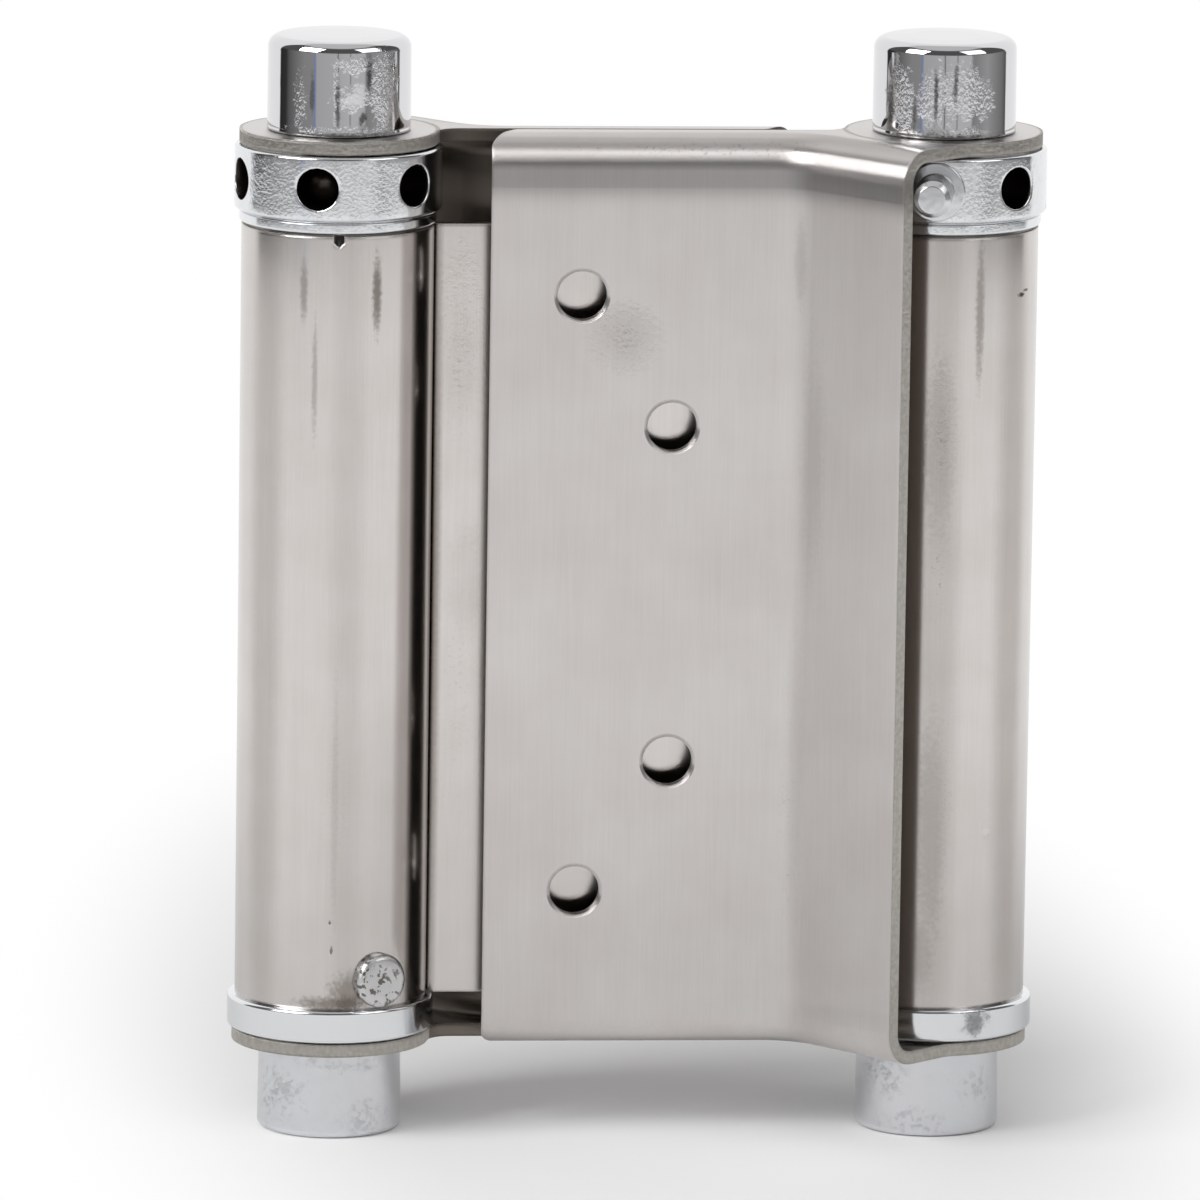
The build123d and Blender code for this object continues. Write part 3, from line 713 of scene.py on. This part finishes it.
plugRivet = {
    "shank": 1.6, "head": 2.95, "start": 6.0, "seat": 10.05, "height": 1.65, "rounding": 0.75,
    "seatEdge": 0.1, "crownRise": 0.1, "crownShare": 0.55, "crownRound": 1.0,
    "level": 8.35, "angle": 206.6,             # mm up the barrel, and degrees round it
    "fineness": (5, 72),
}
stopPin = {
    "radius": 2.0, "start": 7.6, "seat": 11.25, "shoulder": 3.2, "shoulderHeight": 0.5, "shoulderEdge": 0.15,
    "neckRound": 0.1, "edge": 0.2, "end": 17.2, "tip": 0.55,
    "level": 94.925, "angle": -9.7316, "fineness": (5, 72),
}
endFlat = 0.2                # mm, radius of the small flat that closes a turned end


def spokePlace(place, look):                   # lays a piece made along +Z so that it points out from the barrel
    lay = Matrix.Rotation(math.pi / 2, 4, "X")
    turn = Matrix.Rotation(math.radians(look["angle"]), 4, "Z")
    return place @ Matrix.Translation((0, 0, look["level"])) @ turn @ lay


def makeRivet(name, look, body, node, place):
    top = look["seat"] + look["height"]
    turnPiece(name, [
        (0, look["start"], 0), (look["shank"], look["start"], 0), (look["shank"], look["seat"], 0),
        (look["head"], look["seat"], look["seatEdge"]), (look["head"], top - look["crownRise"], look["rounding"]),
        (look["head"] * look["crownShare"], top, look["crownRound"]), (endFlat, top, 0), (0, top, 0),
    ], look["fineness"], rivetPlating, body, node, spokePlace(place, look))


def makePin(name, look, body, node, place):
    radius, shoulder, edge = look["radius"], look["shoulder"], look["edge"]
    crown = look["seat"] + look["shoulderHeight"]
    turnPiece(name, [
        (0, look["start"], 0), (radius, look["start"], edge), (radius, look["seat"], 0),
        (shoulder, look["seat"], look["shoulderEdge"]), (shoulder, crown, edge), (radius, crown, look["neckRound"]),
        (radius, look["end"] - look["tip"], edge), (radius - look["tip"], look["end"], edge),
        (endFlat, look["end"], 0), (0, look["end"], 0),
    ], look["fineness"], pinPlating, body, node, spokePlace(place, look))


for side, place in barrelPlaces.items():
    makeRivet(side + "PlugRivet", plugRivet, "centre", side + "_plug_rivet", place)
    makePin(side + "StopPin", stopPin, side + "_pin", side + "_stop_pin", place)
print("stage: rivets and stop pins made")


# Carried-over nodes: sheet pieces and the steel inside the barrels

nodeMaterials = {"centre_web": rolledSheet, "front_leaf": frontSheet, "rear_leaf": rearSheet}
for side in barrelPlaces:
    nodeMaterials.update({side + "_top_spindle": innerSteel, side + "_bottom_spindle": innerSteel,
                          side + "_torsion_spring": springWire})
for name, material in nodeMaterials.items():
    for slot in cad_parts[name].material_slots:
        slot.material = material
print("stage: carried-over nodes dressed")


# Floor, world and lamps

studio = {
    "floorColour": "#F0F0F0",
    "floorRings": (40.0, 120.0, 300.0, 660.0), "floorSegments": 96,      # mm
    "nearWhite": (80.0, 300.0),            # mm from the middle: the paper in reflections turns plain white
    "paperMiddle": (6, 40, 0), "paperReach": (64, 190, 1),    # mm, oval in which the paper and its shadow are seen
    "paperFade": (0.5, 1.15),              # shares of that oval between which the seen paper turns plain white
    # what stands round the table, as (degrees round from the front, tone)
    "room": [(-113, "#FFFFFF"), (-111, "#303030"), (-97, "#383838"), (-90, "#616161"), (-75, "#7C7C7C"),
             (-60, "#919191"), (-44, "#949494"), (-42.8, "#8490B4"), (-40.2, "#8490B4"), (-39, "#B4B4B4"),
             (-5.2, "#BCBCBC"), (-4, "#303030"), (-2.8, "#BCBCBC"), (14.8, "#C4C4C4"), (16, "#484848"),
             (17.2, "#C4C4C4"), (39, "#C2C2C2"), (42, "#8C8C8C"), (68, "#A5A5A5"), (80, "#969696"),
             (100, "#7C7C7C"), (110, "#595959"), (112, "#FFFFFF")],
    "roomTurn": 1.4,                       # degrees that the room is turned against the hinge
    "backdropFrom": (110.0, 113.0),        # degrees round to either side, where the white backdrop begins
    "roomTop": (10.0, 17.0), "frontWall": "#585858",          # degrees up, where the dim wall above the room begins
    "ceilingFrom": (54.0, 66.0), "ceiling": "#CFCFCF",        # degrees up
    "softLight": 0.8, "lowLight": 0.16,    # what matt things get from overhead and from the sides
    "lampAim": 0.06,                       # m up, where the lamps point
    # (degrees round from the front, degrees up, watts, size in m, distance in m, seen in shiny things)
    "lamps": {"keyLamp": (-58, 37, 10.0, 0.72, 1.25, True), "fillLamp": (50, 38, 2.8, 0.72, 1.25, True),
              "frontLamp": (4, 40, 2.8, 1.0, 1.25, False)},
}


def makeFloor(look):
    # Matt white paper: flat, with soft shadows, fading to plain white away from the hinge
    material, tree = startMaterial("whitePaper")
    place = addNode(tree, "ShaderNodeTexCoord").outputs["Object"]
    reach = addNode(tree, "ShaderNodeVectorMath", {"operation": "LENGTH"}, links={0: place}).outputs["Value"]
    oval = reachFrom(tree, place, look["paperMiddle"], look["paperReach"])
    nearWhite = [edge * mm for edge in look["nearWhite"]]
    shinyShare, viewShare = (
        addNode(tree, "ShaderNodeMapRange", {"interpolation_type": "SMOOTHSTEP"},
                {"From Min": start, "From Max": end}, {"Value": distance}).outputs[0]
        for distance, (start, end) in ((reach, nearWhite), (oval, look["paperFade"])))
    paper = addNode(tree, "ShaderNodeBsdfDiffuse", values={"Color": toLinear(look["floorColour"])})
    plain = addNode(tree, "ShaderNodeEmission", values={"Strength": 1.0})
    rays = addNode(tree, "ShaderNodeLightPath").outputs
    inView = addNode(tree, "ShaderNodeMath", {"operation": "MULTIPLY"},
                     links={0: rays["Is Camera Ray"], 1: viewShare})
    share = addNode(tree, "ShaderNodeMath", {"operation": "MULTIPLY_ADD"},
                    links={0: rays["Is Glossy Ray"], 1: shinyShare, 2: inView.outputs[0]})
    mixed = addNode(tree, "ShaderNodeMixShader",
                    links={0: share.outputs[0], 1: paper.outputs[0], 2: plain.outputs[0]})
    addNode(tree, "ShaderNodeOutputMaterial", links={0: mixed.outputs[0]})

    mesh = bmesh.new()
    angles = [2 * math.pi * i / look["floorSegments"] for i in range(look["floorSegments"])]
    rings = [addRing(mesh, angles, radius * mm, 0) for radius in look["floorRings"]]
    for inner, outer in zip(rings, rings[1:]):
        joinRings(mesh, inner, outer)
    mesh.faces.new(rings[0])
    bmesh.ops.recalc_face_normals(mesh, faces=mesh.faces)
    makeObject(mesh, "paperFloor", [material])


def makeWorld(look):
    world = bpy.data.worlds.new("studio")
    bpy.context.scene.world = world
    world.use_nodes = True
    tree = world.node_tree
    tree.nodes.clear()
    way = addNode(tree, "ShaderNodeTexCoord").outputs["Generated"]
    parts = addNode(tree, "ShaderNodeSeparateXYZ", links={0: way}).outputs
    front = addNode(tree, "ShaderNodeMath", {"operation": "MULTIPLY"}, {1: -1.0}, {0: parts[1]})
    turn = addNode(tree, "ShaderNodeMath", {"operation": "ARCTAN2"}, links={0: parts[0], 1: front.outputs[0]})
    rise = addNode(tree, "ShaderNodeMath", {"operation": "ARCSINE"}, links={0: parts[2]}).outputs[0]

    # tones round the horizon, with plain white behind
    turnShare = addNode(tree, "ShaderNodeMapRange",
                        values={"From Min": math.radians(-180 - look["roomTurn"]),
                                "From Max": math.radians(180 - look["roomTurn"])},
                        links={"Value": turn.outputs[0]}).outputs[0]
    ramp = addNode(tree, "ShaderNodeValToRGB", links={0: turnShare})
    stops = ramp.color_ramp.elements
    for degrees, tone in look["room"]:
        stops.new((degrees + 180) / 360).color = toLinear(tone)
    for end in (0, -1):
        stops[end].color = (1, 1, 1, 1)

    # the wall above the room stands only in front, the ceiling all round
    off = addNode(tree, "ShaderNodeMapRange", values={"To Min": -180, "To Max": 180}, links={"Value": turnShare})
    side = addNode(tree, "ShaderNodeMath", {"operation": "ABSOLUTE"}, links={0: off.outputs[0]}).outputs[0]
    behind, aboveRoom, overhead = (
        addNode(tree, "ShaderNodeMapRange", {"interpolation_type": "SMOOTHSTEP"},
                {"From Min": start, "From Max": end}, {"Value": angle}).outputs[0]
        for angle, (start, end) in ((side, look["backdropFrom"]),
                                    (rise, [math.radians(d) for d in look["roomTop"]]),
                                    (rise, [math.radians(d) for d in look["ceilingFrom"]])))
    inFront = addNode(tree, "ShaderNodeMath", {"operation": "SUBTRACT", "use_clamp": True},
                      links={0: aboveRoom, 1: behind}).outputs[0]
    tone = layColours(tree, ramp.outputs[0], [(inFront, look["frontWall"]), (overhead, look["ceiling"])])

    # matt things get an even light instead, and the camera sees plain white
    rays = addNode(tree, "ShaderNodeLightPath").outputs
    soft = addNode(tree, "ShaderNodeMapRange", values={"To Min": look["lowLight"], "To Max": look["softLight"]},
                   links={"Value": overhead})
    shared = addNode(tree, "ShaderNodeMix", {"data_type": "RGBA"},
                     links={0: rays["Is Diffuse Ray"], 6: tone, 7: soft.outputs[0]})
    seen = addNode(tree, "ShaderNodeMix", {"data_type": "RGBA"}, {7: (1, 1, 1, 1)},
                   {0: rays["Is Camera Ray"], 6: shared.outputs[2]})
    light = addNode(tree, "ShaderNodeBackground", links={"Color": seen.outputs[2]})
    addNode(tree, "ShaderNodeOutputWorld", links={0: light.outputs[0]})


def makeLamp(name, aimHeight, turn, rise, power, size, distance, shiny):
    turn, rise = math.radians(turn), math.radians(rise)
    way = Vector((math.sin(turn) * math.cos(rise), -math.cos(turn) * math.cos(rise), math.sin(rise)))
    data = bpy.data.lights.new(name, "AREA")
    data.shape = "SQUARE"
    data.size = size
    data.energy = power
    lamp = bpy.data.objects.new(name, data)
    lamp.location = Vector((0, 0, aimHeight)) + way * distance
    lamp.rotation_mode = "QUATERNION"
    lamp.rotation_quaternion = way.to_track_quat("Z", "Y")
    lamp.visible_glossy = shiny
    bpy.context.scene.collection.objects.link(lamp)


makeFloor(studio)
makeWorld(studio)
for name, setting in studio["lamps"].items():
    makeLamp(name, studio["lampAim"], *setting)
bpy.context.scene.view_settings.view_transform = "Standard"
print("stage: studio lit")
